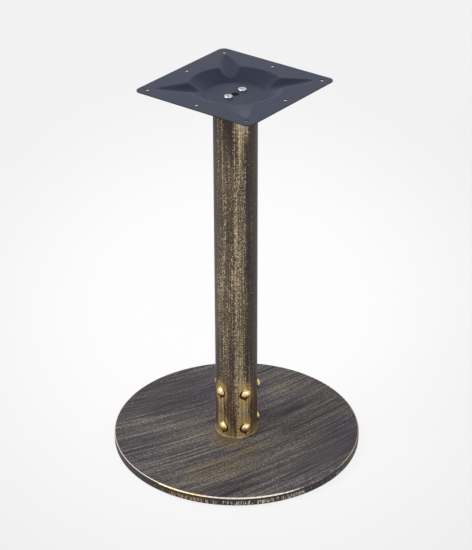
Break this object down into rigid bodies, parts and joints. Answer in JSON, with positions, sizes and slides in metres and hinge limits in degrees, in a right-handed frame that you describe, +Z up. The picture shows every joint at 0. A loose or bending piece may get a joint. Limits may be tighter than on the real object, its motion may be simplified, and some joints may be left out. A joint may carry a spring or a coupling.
{
  "type": "pedestal table base",
  "caption": "Pedestal table base: flat round floor disc, riveted tube column and a stamped square top plate with screw holes for a table top.",
  "frame": {"origin": "centre of the floor disc, at the floor under the glides", "axes": "+Z up along the column, +X and +Y square to the sides of the top plate"},
  "size_m": [0.4499, 0.45, 0.7],
  "materials": {
    "antique_paint": "dark paint brushed with dull gold, satin",
    "bare_steel": "mill finish, lightly oiled",
    "powder_coat": "satin powder coat, dark blue grey",
    "rivet_brass": "polished dome, lightly tarnished",
    "zinc": "bright zinc plating",
    "glide_nylon": "moulded, fine matt"
  },
  "bodies": {
    "root": {"base_disc": "antique_paint", "column_tube": "antique_paint", "hub_sleeve": "bare_steel", "column_cap": "bare_steel", "top_plate": "powder_coat", "rivet_lower_1": "rivet_brass", "rivet_lower_2": "rivet_brass", "rivet_lower_3": "rivet_brass", "rivet_lower_4": "rivet_brass", "rivet_lower_5": "rivet_brass", "rivet_upper_1": "rivet_brass", "rivet_upper_2": "rivet_brass", "rivet_upper_3": "rivet_brass", "rivet_upper_4": "rivet_brass", "rivet_upper_5": "rivet_brass", "plate_screw_1": "zinc", "plate_screw_2": "zinc", "spring_washer_1": "zinc", "spring_washer_2": "zinc", "glide_1": "glide_nylon", "glide_2": "glide_nylon", "glide_3": "glide_nylon", "glide_4": "glide_nylon"}
  },
  "joints": []
}
